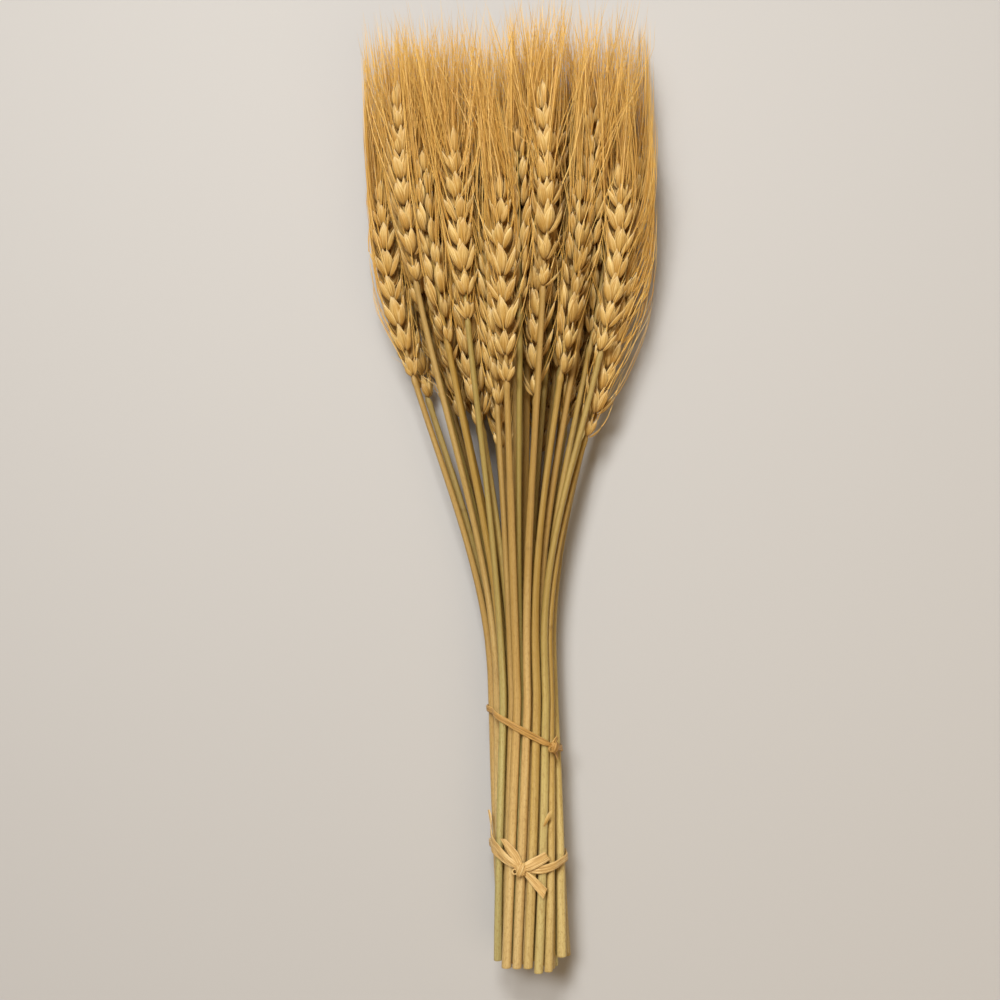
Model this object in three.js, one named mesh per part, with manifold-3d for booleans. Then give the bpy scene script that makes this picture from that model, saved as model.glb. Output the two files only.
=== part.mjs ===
// A bundle of dried bearded wheat, lying on a surface. The stalks are packed tight inside two raffia ties,
// and fan out from there to their ears, each in its own lane, so that no two touch.
// Millimetres, +Z up, +Y from the cut ends to the ears. The origin is under the middle of the bounding box.
import * as THREE from "three";
import { mergeVertices } from "three/addons/utils/BufferGeometryUtils.js";
import Module from "manifold-3d";

const wasm = await Module();
wasm.setup();

// The bundle
const STALKS = 42;
const CLEARANCE = 0.3; // between any two pieces
const SPIRAL_STEP = 2.35; // how the stems are strewn over the bundle's section before they are packed
const TWIST = 0.62; // turn of the stems about the bundle's middle, from the cut ends to the fan, in radians
const TWIST_END = 118; // where that turn ends and the fan begins
const FAN_TURN = 0.2; // how much further the stalks turn in the fan
const BUTT_FLARE = 0.12; // how much wider the bundle is at the cut ends than at the upper tie
const HEAD_WIDTH = 116; // between the outermost ears' axes, before they are moved clear of each other
const HEAD_HEIGHT = 46; // between the lowest ears' axes and the highest's, before that
const HEAD_FLATNESS = 0.8; // how evenly high the head is, from 1, an arch, to 0, a box
const PACK_ROUNDS = 800;
const PACK_PULL = 0.004; // the share of its way to the middle that a stem is drawn in the first round
const SPREAD_ROUNDS = 500;
const GOLDEN_ANGLE = Math.PI * (3 - Math.sqrt(5));
const EAR_FIRST = 0.985; // how high the first ear starts, as a share of the ears' range
const EAR_STEP = 0.933; // and how much higher the next one does: past the top it goes on from the bottom

// One stalk, with the least and most of what varies. Places are distances from the cut ends.
const CUT_END = [-3.5, 3.5];
const STEM_RADIUS = [1.8, 2.22];
const NECK_SHARE = 0.66; // stem radius just under the ear, as a share of that at the cut end
const FAN_START = [118, 140];
const FAN_END = [336, 366];
const EAR_START = [226, 304];
const EAR_LENGTH = [80, 91];
const AWN_TOP = [398, 431]; // where a stalk's longest awns end
const AWN_REACH = [58, 76]; // an awn's length past its spikelet
const STEM_SIDES = 6;
const STEM_STATIONS = [56, 118, 146, 174, 200, 226, 252, 278];

// The ear: its spikelets' heights and reaches, from where each one is rooted and from the ear's axis
const SPIKELETS = 14; // in its two ranks, without the one at the top
const FIRST_RISE = 2.5; // from the stem's end to the first root
const TERMINAL_LENGTH = 11;
const LANE_RADIUS = 5.6; // what the ear and its awns keep within
const NECK_LANE = 0.66; // the lane's width where the ear starts, as a share of its full width
const AWN_LANE = 0.86; // and past the ear's top
const ROOT_REACH = 2.1;
const EDGE_RISE = 6;
const EDGE_OUT = 1.1;
const EDGE_REACH = 4.7;
const BELLY_RISE = 5.5;
const BELLY_REACH = 4.6;
const TIP_RISE = 12.5;
const TIP_REACH = 5;
const AWN_RADIUS = 0.5; // at its root
const AWN_BEND = 9; // from the spikelet's tip to where the awn runs along its lane
const AWN_SWINGS = [0.72, -0.5, 0.26, -0.06]; // how far round the ear a rank's awns stand, in radians

// The ties, strips of raffia. Angles are round the bundle, from its right side over its top, in degrees.
const TIE_SECTIONS = 28;
const LOWER_TIE = { middle: 49.5, dip: 6, slope: 3.1, width: 3.6, thickness: 1.2 };
const UPPER_TIE = { middle: 104, dip: 0, slope: 9.5, width: 3, thickness: 0.9 };
const FLAT_DEPTH = 0.9; // how near the floor a tie's underside is pressed flat on it
const LOWER_KNOT = { angle: 102, y: 43.5, across: 3.1, along: 3.4, high: 1.5, lift: 0.6 };
const UPPER_KNOT = { angle: 43, y: 96.5, across: 2.9, along: 2.7, high: 1.4, lift: 0.4 };
const TAIL_THICKNESS = 0.7;

// The ties' tails: the places that each passes, from its knot to its end, with its width and height there
const LOWER_TAILS = [
  [
    { angle: 100, y: 44, width: 3, lift: 1.1 },
    { angle: 82, y: 46.2, width: 3.7, lift: 1.7 },
    { angle: 65, y: 48.6, width: 3.8, lift: 1.5 },
  ],
  [
    { angle: 98, y: 42.5, width: 2.2, lift: 0.9 },
    { angle: 82, y: 37.5, width: 3.2, lift: 0.5 },
    { angle: 69, y: 32.6, width: 3.9, lift: 1.2 },
  ],
  [
    { angle: 103, y: 45, width: 2.2, lift: 1.3 },
    { angle: 114, y: 51.5, width: 2.8, lift: 1.1 },
    { angle: 126, y: 57, width: 1.8, lift: 1.6 },
  ],
  [
    { angle: 107, y: 45, width: 2.4, lift: 1.2 },
    { angle: 132, y: 50.5, width: 4, lift: 1.2 },
    { angle: 157, y: 56.5, width: 3.2, lift: 0.6 },
    { angle: 170, y: 62.5, width: 1.9, lift: 0.6 },
    { angle: 174, y: 68, width: 0.7, lift: 1.2 },
  ],
];
const UPPER_TAILS = [
  [
    { angle: 45, y: 97, width: 2.4, lift: 0.9 },
    { angle: 33, y: 100.5, width: 2.2, lift: 1.1 },
  ],
  [
    { angle: 42, y: 96, width: 2.2, lift: 0.8 },
    { angle: 31, y: 91.5, width: 2.4, lift: 0.5 },
  ],
];

const STEM_LIFT = 0.7; // between the floor and the lowest stem
const TIED_STATIONS = [0, 15, 30, 45, 60, 75, 90, 105, 120];
const LANE_STATIONS = [150, 175, 200, 220, 240, 260, 280, 300, 320, 340, 360, 380, 400, 420];
const ACROSS = new THREE.Vector3(1, 0, 0);
const UNDERNEATH = -Math.PI / 2;

// A generator of numbers from 0 to 1 that gives the same ones for the same seed.
function randomFrom(seed) {
  let state = seed * 7919 + 104729;
  const next = () => {
    state = (state * 1664525 + 1013904223) % 4294967296;
    return state / 4294967296;
  };
  for (let i = 0; i < 4; i++) next();
  return next;
}

const mix = (low, high, share) => low + (high - low) * share;
const radians = (degrees) => (degrees * Math.PI) / 180;

function smoothstep(low, high, at) {
  const t = Math.min(1, Math.max(0, (at - low) / (high - low)));
  return t * t * (3 - 2 * t);
}

// What one stalk is like, apart from where its head lies.
function drawStalk(index) {
  const random = randomFrom(index + 1);
  const between = ([low, high]) => mix(low, high, random());
  const reach = SPIRAL_STEP * Math.sqrt(index + 0.5);
  return {
    x: reach * Math.cos(index * GOLDEN_ANGLE),
    z: reach * Math.sin(index * GOLDEN_ANGLE),
    headX: 0,
    headZ: 0,
    cut: between(CUT_END),
    radius: between(STEM_RADIUS),
    fanStart: between(FAN_START),
    fanEnd: between(FAN_END),
    earLength: between(EAR_LENGTH),
    awnTop: between(AWN_TOP),
    awnReach: between(AWN_REACH),
    roll: random() * Math.PI,
    earStart: mix(...EAR_START, (EAR_FIRST + index * EAR_STEP + 0.12 * random()) % 1),
  };
}

// Draws all circles to the middle, less and less, and pushes each overlapping pair apart, half each.
function packCircles(circles) {
  for (let round = 0; round < PACK_ROUNDS; round++) {
    const pull = PACK_PULL * Math.max(0, 1 - (1.25 * round) / PACK_ROUNDS);
    for (const c of circles) {
      c.x -= c.x * pull;
      c.z -= c.z * pull;
    }
    circles.forEach((a, i) => {
      for (const b of circles.slice(i + 1)) {
        const dx = b.x - a.x;
        const dz = b.z - a.z;
        const apart = Math.hypot(dx, dz);
        const lack = a.radius + b.radius + CLEARANCE - apart;
        if (lack <= 0) continue;
        const share = (0.5 * lack) / apart;
        a.x -= dx * share;
        a.z -= dz * share;
        b.x += dx * share;
        b.z += dz * share;
      }
    });
  }
}

// Where a stalk's axis lies at a distance y from the cut ends: in the ties, then out along the fan.
function axisAt(stalk, y) {
  const turn = TWIST * Math.max(0, 1 - y / TWIST_END);
  const flare = 1 + BUTT_FLARE * Math.max(0, 1 - y / UPPER_TIE.middle);
  const x = flare * (stalk.x * Math.cos(turn) - stalk.z * Math.sin(turn));
  const z = flare * (stalk.x * Math.sin(turn) + stalk.z * Math.cos(turn));
  const out = smoothstep(stalk.fanStart, stalk.fanEnd, y);
  return new THREE.Vector3(mix(x, stalk.headX, out), y, mix(z, stalk.headZ, out));
}

function stemRadiusAt(stalk, y) {
  return stalk.radius * mix(1, NECK_SHARE, Math.max(0, y) / stalk.earStart);
}

// The radius that a stalk needs round its axis.
function laneRadius(stalk, y) {
  const along = (y - stalk.earStart) / stalk.earLength;
  if (along < -0.02) return stemRadiusAt(stalk, y);
  if (along >= 1) return LANE_RADIUS * AWN_LANE;
  return LANE_RADIUS * Math.min(1, NECK_LANE + 1.6 * Math.max(0, along));
}

// How far the stems reach from the bundle's middle at y, towards an angle.
function reachAt(stalks, y, angle) {
  const direction = new THREE.Vector3(Math.cos(angle), 0, Math.sin(angle));
  return Math.max(...stalks.map((stalk) => axisAt(stalk, y).dot(direction) + stemRadiusAt(stalk, y)));
}

// Spreads the heads over a section with a flat underside and an arched top, like that of a sheaf lying down.
function placeHeads(stalks, floor) {
  const radius = Math.max(...stalks.map((stalk) => Math.hypot(stalk.x, stalk.z)));
  for (const stalk of stalks) {
    const sideways = (stalk.x * Math.cos(FAN_TURN) + stalk.z * Math.sin(FAN_TURN)) / radius;
    const upwards = (stalk.z * Math.cos(FAN_TURN) - stalk.x * Math.sin(FAN_TURN)) / radius;
    const chord = Math.sqrt(Math.max(0.05, 1 - sideways ** 2));
    const height = Math.min(1, Math.max(0, 0.5 + (0.5 * upwards) / chord));
    stalk.headX = sideways * (HEAD_WIDTH / 2);
    stalk.headZ = floor + LANE_RADIUS + height * HEAD_HEIGHT * chord ** HEAD_FLATNESS;
  }
}

// Raises a head until its stalk is over the floor at every station.
function liftHead(stalk, floor) {
  for (const y of LANE_STATIONS) {
    const lack = floor + laneRadius(stalk, y) - axisAt(stalk, y).z;
    if (lack > 0) stalk.headZ += lack / smoothstep(stalk.fanStart, stalk.fanEnd, y);
  }
}

// Moves the heads until every pair is clear of each other at every station, and none is under the floor.
function spreadHeads(stalks, floor) {
  for (let round = 0; round < SPREAD_ROUNDS; round++) {
    stalks.forEach((a, i) => {
      for (const b of stalks.slice(i + 1)) {
        for (const y of LANE_STATIONS) {
          const gap = axisAt(b, y).sub(axisAt(a, y));
          const apart = gap.length();
          const lack = laneRadius(a, y) + laneRadius(b, y) + CLEARANCE - apart;
          if (lack <= 0) continue;
          const share = (0.5 * lack) / apart / Math.max(0.35, smoothstep(120, 350, y));
          a.headX -= gap.x * share;
          a.headZ -= gap.z * share;
          b.headX += gap.x * share;
          b.headZ += gap.z * share;
        }
      }
    });
    for (const stalk of stalks) liftHead(stalk, floor);
  }
}

// A surface under construction: vertices, and triangles that name them by number.
class Surface {
  positions = [];
  faces = [];

  vertex(point) {
    return this.positions.push(point) - 1;
  }

  // A triangle, turned round where flip is true. One that names a vertex twice is left out.
  face(a, b, c, flip = false) {
    if (a === b || b === c || c === a) return;
    this.faces.push(...(flip ? [a, c, b] : [a, b, c]));
  }

  // The band between two rings of as many vertices.
  band(below, above, flip = false) {
    below.forEach((_, s) => {
      const next = (s + 1) % below.length;
      this.face(below[s], below[next], above[next], flip);
      this.face(below[s], above[next], above[s], flip);
    });
  }

  // The flat end of a row of rings, which the next ring would lie beyond.
  cap(ring, flip = false) {
    for (let s = 1; s < ring.length - 1; s++) this.face(ring[0], ring[s], ring[s + 1], flip);
  }

  geometry() {
    const made = new THREE.BufferGeometry().setFromPoints(this.positions);
    made.setIndex(this.faces);
    return made;
  }
}

// The ear's own directions at y: along it, towards its two ranks of spikelets, and across them.
function earFrame(stalk, y) {
  const along = axisAt(stalk, y + 2).sub(axisAt(stalk, y - 2)).normalize();
  const flat = ACROSS.clone().addScaledVector(along, -ACROSS.dot(along)).normalize();
  const up = flat.clone().cross(along);
  const rank = flat.clone().multiplyScalar(Math.cos(stalk.roll)).addScaledVector(up, Math.sin(stalk.roll));
  return { rank, across: along.clone().cross(rank) };
}

// A point beside a stalk's axis at y.
function beside(stalk, y, towardsRank, towardsSide) {
  const { rank, across } = earFrame(stalk, y);
  return axisAt(stalk, y).addScaledVector(rank, towardsRank).addScaledVector(across, towardsSide);
}

// The rings of a stem, from the cut end up to the ear, closed at the cut. It gives the ring under the ear.
function growStem(surface, stalk) {
  const { roll } = stalk;
  const stations = [stalk.cut, ...STEM_STATIONS.filter((y) => y < stalk.earStart - 10), stalk.earStart];
  const rings = stations.map((y) =>
    Array.from({ length: STEM_SIDES }, (_, s) => {
      const angle = (2 * Math.PI * s) / STEM_SIDES;
      const radius = stemRadiusAt(stalk, y);
      const offset = new THREE.Vector3(Math.cos(roll - angle), 0, Math.sin(roll - angle));
      return surface.vertex(axisAt(stalk, y).addScaledVector(offset, radius));
    }),
  );
  for (let r = 1; r < rings.length; r++) surface.band(rings[r - 1], rings[r]);
  surface.cap(rings[0], true);
  return rings.at(-1);
}

// Three corners of an awn round a point beside the stalk's axis, towards a side of the ear.
function awnRing(surface, stalk, side, y, out, sideways, radius) {
  const corner = (n, x) => beside(stalk, y, side * (out + n * radius), sideways + x * radius);
  return [corner(-0.5, -0.87), corner(1, 0), corner(-0.5, 0.87)].map((point) => surface.vertex(point));
}

// The awn of one spikelet, from its open top to a point, round what grows above it on the ear.
function growAwn(surface, stalk, rim, tip, side, swing, flip) {
  const top = Math.min(tip.y + stalk.awnReach, stalk.awnTop);
  const bend = tip.y + AWN_BEND;
  const out = (LANE_RADIUS - AWN_RADIUS) * Math.cos(swing);
  const sideways = (LANE_RADIUS - AWN_RADIUS) * Math.sin(swing);
  const rings = [
    awnRing(surface, stalk, side, tip.y, tip.out, 0, AWN_RADIUS),
    awnRing(surface, stalk, side, bend, out, sideways, AWN_RADIUS * 0.85),
    awnRing(surface, stalk, side, mix(bend, top, 0.45), out, sideways, AWN_RADIUS * 0.6),
  ];
  const end = surface.vertex(beside(stalk, top, side * out, sideways));
  const [left, outer, right] = rings[0];
  surface.band(rim, [left, outer, right, right], flip);
  for (let r = 1; r < rings.length; r++) surface.band(rings[r - 1], rings[r], flip);
  surface.band(rings.at(-1), [end, end, end], flip);
}

// The spikelet at the top of the ear, drawn out to an awn, from the six vertices that end the two ranks.
function growTerminal(surface, stalk, crown) {
  const tip = stalk.earStart + stalk.earLength;
  const top = Math.min(tip + stalk.awnReach, stalk.awnTop);
  const [left, outer, right] = awnRing(surface, stalk, 1, tip, 0, 0, AWN_RADIUS);
  const end = surface.vertex(axisAt(stalk, top));
  surface.band(crown, [outer, outer, right, right, left, left]);
  surface.band([outer, right, left], [end, end, end]);
}

// Where each spikelet of the two ranks is rooted, and its widest places. Those past the last are roots only.
function placeSpikelets(surface, stalk) {
  const pitch = (stalk.earLength - TERMINAL_LENGTH) / SPIKELETS;
  return Array.from({ length: SPIKELETS + 2 }, (_, number) => {
    const share = number / SPIKELETS;
    const size = mix(0.7, 1, smoothstep(0, 0.25, share)) * mix(1, 0.74, smoothstep(0.6, 1, share));
    const side = number % 2 ? -1 : 1;
    const y = stalk.earStart + FIRST_RISE + pitch * number;
    const root = surface.vertex(beside(stalk, y, side * ROOT_REACH * size, 0));
    const spot = { number, side, size, y, root };
    if (number >= SPIKELETS) return spot;
    const edge = (x) => surface.vertex(beside(stalk, y + EDGE_RISE, side * EDGE_OUT, x * EDGE_REACH * size));
    spot.edges = [edge(-1), edge(1)];
    spot.belly = surface.vertex(beside(stalk, y + BELLY_RISE, side * BELLY_REACH * size, 0));
    return spot;
  });
}

// One spikelet: a cup whose rim is drawn up to a point, or to an awn on every second one of its rank.
function growSpikelet(surface, stalk, { number, side, size, y, root, edges, belly }, next) {
  const flip = side < 0;
  surface.face(root, edges[1], belly, flip);
  surface.face(root, belly, edges[0], flip);
  const rim = [edges[0], belly, edges[1], next.root];
  const tip = { y: y + TIP_RISE * size, out: TIP_REACH * size };
  if (number % 4 === 1 || number % 4 === 2) {
    growAwn(surface, stalk, rim, tip, side, side * AWN_SWINGS[number >> 2], flip);
  } else {
    const point = surface.vertex(beside(stalk, tip.y, side * tip.out, 0));
    surface.band(rim, [point, point, point, point], flip);
  }
}

// The ear: two ranks of pointed spikelets, raised in turn on either side of its axis, and one at the top.
function growEar(surface, stalk, neck) {
  const spots = placeSpikelets(surface, stalk);
  for (const spot of spots.slice(0, SPIKELETS)) {
    const between = spots[spot.number + 1];
    const next = spots[spot.number + 2];
    const flip = spot.side < 0;
    growSpikelet(surface, stalk, spot, next);
    if (!next.edges) continue;
    surface.face(spot.edges[1], next.edges[1], next.root, flip);
    surface.face(next.root, next.edges[0], spot.edges[0], flip);
    surface.face(next.edges[1], spot.edges[1], between.edges[1], flip);
    surface.face(spot.edges[0], next.edges[0], between.edges[0], flip);
  }
  // The six vertices round an end of the two ranks, in the order of the stem's.
  const loop = (rootA, rootB, a, b) => [rootA, a.edges[1], b.edges[1], rootB, b.edges[0], a.edges[0]];
  const [first, second] = spots;
  surface.band(neck, loop(first.root, second.root, first, second));
  const [lastButOne, last, rootA, rootB] = spots.slice(SPIKELETS - 2);
  growTerminal(surface, stalk, loop(rootA.root, rootB.root, lastButOne, last));
}

function makeStalk(stalk) {
  const surface = new Surface();
  const neck = growStem(surface, stalk);
  growEar(surface, stalk, neck);
  return surface.geometry();
}

// A point on or over the stems at y and at an angle round the bundle, pressed flat where it meets the floor.
function overStems(bundle, y, angle, height) {
  const radius = reachAt(bundle.stalks, y, angle) + height;
  const z = radius * Math.sin(angle);
  const pressed = height > CLEARANCE && z < bundle.floor + FLAT_DEPTH;
  return new THREE.Vector3(radius * Math.cos(angle), y, pressed ? bundle.floor : z);
}

// The four corners of a strip that runs round and along the bundle with the given heading.
function stripSection(surface, bundle, { angle, y, heading, width, lift, thickness }) {
  const corner = (side, height) => {
    const sideways = (side * width) / 2;
    const turned = angle - (sideways * Math.sin(heading)) / bundle.radius;
    return surface.vertex(overStems(bundle, y + sideways * Math.cos(heading), turned, height));
  };
  const inner = CLEARANCE + lift;
  const outer = inner + thickness;
  return [corner(-1, inner), corner(1, inner), corner(1, outer), corner(-1, outer)];
}

// Where a tie's middle line lies along the bundle, at an angle round it.
function tieAt({ middle, dip, slope }, angle) {
  return middle - dip * Math.max(0, Math.sin(angle)) ** 2 - slope * Math.cos(angle);
}

// The ring of a tie, closed on itself.
function tieRing(bundle, tie) {
  const surface = new Surface();
  const step = (2 * Math.PI) / TIE_SECTIONS;
  const sections = Array.from({ length: TIE_SECTIONS }, (_, s) => {
    const angle = s * step;
    const rise = tieAt(tie, angle + step / 2) - tieAt(tie, angle - step / 2);
    const heading = Math.atan2(rise, step * bundle.radius);
    const place = { angle, y: tieAt(tie, angle), heading, width: tie.width, lift: 0 };
    return stripSection(surface, bundle, { ...place, thickness: tie.thickness });
  });
  sections.forEach((section, s) => surface.band(section, sections[(s + 1) % TIE_SECTIONS], true));
  return solidOf(surface.geometry());
}

// A tail of a tie, through the places that it passes.
function tieTail(bundle, places) {
  const surface = new Surface();
  const round = (place) => radians(place.angle) * bundle.radius;
  const sections = places.map((place, p) => {
    const before = places[Math.max(0, p - 1)];
    const after = places[Math.min(places.length - 1, p + 1)];
    const heading = Math.atan2(after.y - before.y, round(after) - round(before));
    const angle = radians(place.angle);
    return stripSection(surface, bundle, { ...place, angle, heading, thickness: TAIL_THICKNESS });
  });
  for (let s = 1; s < sections.length; s++) surface.band(sections[s - 1], sections[s], true);
  surface.cap(sections[0]);
  surface.cap(sections.at(-1), true);
  return solidOf(surface.geometry());
}

// A tie's knot: a small round lump, flattened on the stems.
function tieKnot(bundle, { angle, y, across, along, high, lift }) {
  const turned = radians(angle);
  const lump = new THREE.IcosahedronGeometry(1, 1);
  lump.scale(across, along, high);
  lump.rotateY(Math.PI / 2 - turned);
  const middle = overStems(bundle, y, turned, CLEARANCE + high + lift);
  lump.translate(middle.x, middle.y, middle.z);
  return solidOf(lump);
}

function solidOf(geometry) {
  const bare = geometry.clone();
  bare.deleteAttribute("normal");
  bare.deleteAttribute("uv");
  const merged = mergeVertices(bare);
  const vertProperties = new Float32Array(merged.getAttribute("position").array);
  const triVerts = new Uint32Array(merged.getIndex().array);
  return new wasm.Manifold(new wasm.Mesh({ numProp: 3, vertProperties, triVerts }));
}

function geometryOf(solid) {
  const { vertProperties, triVerts } = solid.getMesh();
  const made = new THREE.BufferGeometry();
  made.setAttribute("position", new THREE.BufferAttribute(vertProperties, 3));
  made.setIndex(new THREE.BufferAttribute(triVerts, 1));
  return made;
}

// A tie in one solid, with any pocket between its strips filled: the largest of its skins is the outer one.
function makeTie(bundle, tie, knot, tails) {
  const ring = tieRing(bundle, tie).add(tieKnot(bundle, knot));
  const whole = tails.reduce((part, places) => part.add(tieTail(bundle, places)), ring);
  return geometryOf(whole.decompose().reduce((a, b) => (b.volume() > a.volume() ? b : a)));
}

function meshOf(name, geometry, material) {
  const mesh = new THREE.Mesh(geometry, material);
  mesh.name = name;
  return mesh;
}

const straw = new THREE.MeshStandardMaterial({ color: 0xd2b173, roughness: 0.6, metalness: 0 });
const raffia = new THREE.MeshStandardMaterial({ color: 0xc9a565, roughness: 0.55, metalness: 0 });

const stalks = Array.from({ length: STALKS }, (_, index) => drawStalk(index));
packCircles(stalks);
const lowestStem = Math.max(...TIED_STATIONS.map((y) => reachAt(stalks, y, UNDERNEATH)));
const bundle = {
  stalks,
  radius: Math.max(...stalks.map((stalk) => Math.hypot(stalk.x, stalk.z) + stalk.radius)),
  floor: -lowestStem - STEM_LIFT,
};
placeHeads(stalks, bundle.floor);
spreadHeads(stalks, bundle.floor);

const wheat = new THREE.Group();
stalks.forEach((stalk, index) => {
  const name = `stalk_${String(index + 1).padStart(2, "0")}`;
  wheat.add(meshOf(name, makeStalk(stalk), straw));
});
wheat.add(meshOf("lower_tie", makeTie(bundle, LOWER_TIE, LOWER_KNOT, LOWER_TAILS), raffia));
wheat.add(meshOf("upper_tie", makeTie(bundle, UPPER_TIE, UPPER_KNOT, UPPER_TAILS), raffia));

const box = new THREE.Box3().setFromObject(wheat);
const middle = box.getCenter(new THREE.Vector3());
wheat.position.set(-middle.x, -middle.y, -box.min.z);

export default wheat;
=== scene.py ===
"""A bundle of dried bearded wheat lying on a pale floor, seen from above.

A stalk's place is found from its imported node, and its shape from numbers drawn as the solids draw them.
Lengths are in millimetres, and y is the distance from the cut ends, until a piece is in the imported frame.
"""
import itertools
import math

import bmesh
import bpy
import numpy as np
from mathutils import Color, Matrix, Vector


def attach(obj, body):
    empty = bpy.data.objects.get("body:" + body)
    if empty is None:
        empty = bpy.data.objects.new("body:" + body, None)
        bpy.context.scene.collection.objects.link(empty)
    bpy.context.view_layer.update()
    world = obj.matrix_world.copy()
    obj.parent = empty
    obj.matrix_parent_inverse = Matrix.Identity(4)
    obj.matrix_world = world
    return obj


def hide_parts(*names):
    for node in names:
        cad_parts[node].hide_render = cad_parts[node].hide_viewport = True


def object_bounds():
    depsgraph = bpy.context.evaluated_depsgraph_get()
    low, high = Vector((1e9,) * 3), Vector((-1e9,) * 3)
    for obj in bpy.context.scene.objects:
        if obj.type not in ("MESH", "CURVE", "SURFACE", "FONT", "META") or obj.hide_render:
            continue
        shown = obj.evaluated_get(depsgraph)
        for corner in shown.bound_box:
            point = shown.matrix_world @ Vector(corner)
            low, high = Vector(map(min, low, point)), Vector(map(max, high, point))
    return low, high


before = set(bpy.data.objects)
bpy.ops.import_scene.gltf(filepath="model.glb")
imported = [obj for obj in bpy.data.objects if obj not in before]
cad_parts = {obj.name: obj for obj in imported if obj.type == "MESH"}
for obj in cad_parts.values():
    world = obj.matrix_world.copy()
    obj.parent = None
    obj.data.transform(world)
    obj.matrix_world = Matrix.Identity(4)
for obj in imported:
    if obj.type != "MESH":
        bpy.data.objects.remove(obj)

CAD_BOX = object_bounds()
MILLIMETRE = 0.001
BOX = np.array([list(corner) for corner in CAD_BOX]) / MILLIMETRE
BOX_MIDDLE = (BOX[0] + BOX[1]) / 2
BOX_HALF = (BOX[1] - BOX[0]) / 2

# The bundle, as the solids have it
STALKS = 42
CLEARANCE = 0.3  # between any two pieces
TWIST = 0.62  # turn of the stems about the bundle's middle, up to the fan, in radians
TWIST_END = 118
BUTT_FLARE = 0.12  # how much wider the bundle is at the cut ends
FLARE_END = 104
FLAT_DEPTH = 0.9  # how near the floor a tie is pressed flat

# One stalk, as the solids have it: the least and most of what is drawn, in this order
DRAWN = {
    "cut": (-3.5, 3.5), "radius": (1.8, 2.22), "fan_start": (118, 140), "fan_end": (336, 366),
    "ear_length": (80, 91), "awn_top": (398, 431), "awn_reach": (58, 76), "roll": (0, math.pi),
}
EAR_START = (226, 304)
EAR_FIRST = 0.985  # where in that range the first ear starts
EAR_STEP = 0.933  # how much higher the next one does, and past the top on from the bottom
EAR_CHANCE = 0.12  # the most that is added to that
NECK_SHARE = 0.66  # of the stem's radius, under the ear
SPIKELETS = 14  # in the ear's two ranks
FIRST_RISE = 2.5  # from the stem's end to the first root
TERMINAL_LENGTH = 11
LOW_SIZE, LOW_END = 0.7, 0.25  # the lowest spikelet's size, and where the full size starts
HIGH_SIZE, HIGH_START = 0.74, 0.6  # the highest one's, and where the full size ends

# The solids' generator of numbers, and where a stem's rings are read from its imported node
SEED_FACTOR, SEED_SHIFT = 7919, 104729
DRAW_FACTOR, DRAW_SHIFT, DRAW_RANGE = 1664525, 1013904223, 2**32
DRAWS_SKIPPED = 4
POINT_DECIMALS = 4
TWISTED_RING, STRAIGHT_RING = 56, 118
RING_REACH = 0.01

# The stem's rings: heights over the cut, and from the sheath's rim, the joint and the ear's start
STEM_SIDES = 10
STEM_STEP = 6.5
FIRST_RING = 0.8
STEPS_START, STEPS_END = 4, 5  # to the even ones, from the cut and the ear
RIM_ROOM, JOINT_ROOM = 2, 4  # that these leave free
RIM_RINGS = np.array([-0.7, 0.7])
JOINT_RINGS = np.array([-3, -1.2, 0, 1.2, 3])
COLLAR_RINGS = np.array([-2.6, -0.6, 0.6, 3])
CORE_START, CORE_END, CORE_RINGS = 14, 3, 6  # in the ear, and from its end
# Those of the hollow cut end, from its bottom: height, depth under the side, share of the rest, and painted
# shade that darkens the hollow's inside
CUT_RINGS = np.array([
    (6.99, 0.62, 0.9, 1), (7, 0.62, 0.95, 0.9), (0.25, 0.62, 1, 0.3),
    (0, 0.5, 1, 0), (0, 0.2, 1, 0), (0.25, 0.04, 1, 0),
])

# The stem's shape: a swelling or a dark place is a height and a length
SHEATH_END = (112, 236)
SHEATH_WIDTHS = (1.056, 0.986)  # under the sheath's rim and over it
JOINT_PLACE = (70, 214)
JOINT_SHARE = 0.36  # of the stems show one
JOINT_SWELLING = (0.11, 1.5)
JOINT_DARKNESS, JOINT_DARK_LENGTH = (0.12, 0.52), 0.9
RIM_DARKNESS = (0.22, 0.8)
COLLAR_SWELLING = (0.22, 1.1)
CORE_RADIUS, CORE_TAPER, CORE_RISE = 0.95, 0.5, 1.5
STEM_TIP = 0.5  # from the last ring to the core's end
STEM_TIP_SHARE = 1.3  # how far along that counts, with the ear's start at 1
OVAL = 0.04
WAVE_HEIGHT, WAVE_LENGTH, WAVES_START = 0.05, 23, 20
STEM_PHASES = 6.3  # the range of the waves' starts, in radians
# A loose scrap of sheath on the topmost stem near x. Its root is a share of the stem's radius.
SCRAP = {"x": 5.0, "near": 2.4, "y": 61.5, "root": 0.9, "run": (3.2, 7.5, 2.0), "faces": (0.2, 0, 0.98)}
SCRAP_SIZES = (1.7, 0.25, 0.2)  # width, depth and belly

# A bract, by its share along its length: half width, depth and thickness as shares of the greatest
BRACT_RINGS = np.array([0.04, 0.17, 0.36, 0.55, 0.72, 0.86, 0.95])
GLUME_WIDTH = np.array([0.32, 0.62, 0.92, 1.0, 0.84, 0.48, 0.17])
LEMMA_WIDTH = np.array([0.32, 0.64, 0.95, 1.0, 0.75, 0.38, 0.13])
BRACT_DEPTH = np.array([0.42, 0.8, 1.0, 0.96, 0.74, 0.42, 0.18])
BRACT_SOLID = np.array([0.9, 0.9, 0.75, 0.52, 0.36, 0.38, 0.7])
OUTER_ARC = np.array([-1, -0.8, -0.45, 0, 0.45, 0.8, 1])
INNER_ARC = np.array([0.6, 0, -0.6])
BRACT_ARC = np.concatenate([OUTER_ARC, INNER_ARC])
CROWN_POWER = 2.2  # how square the arcs are
KEEL = 0.16
RIM_POWER = 3  # how narrow the pale rim is

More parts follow.
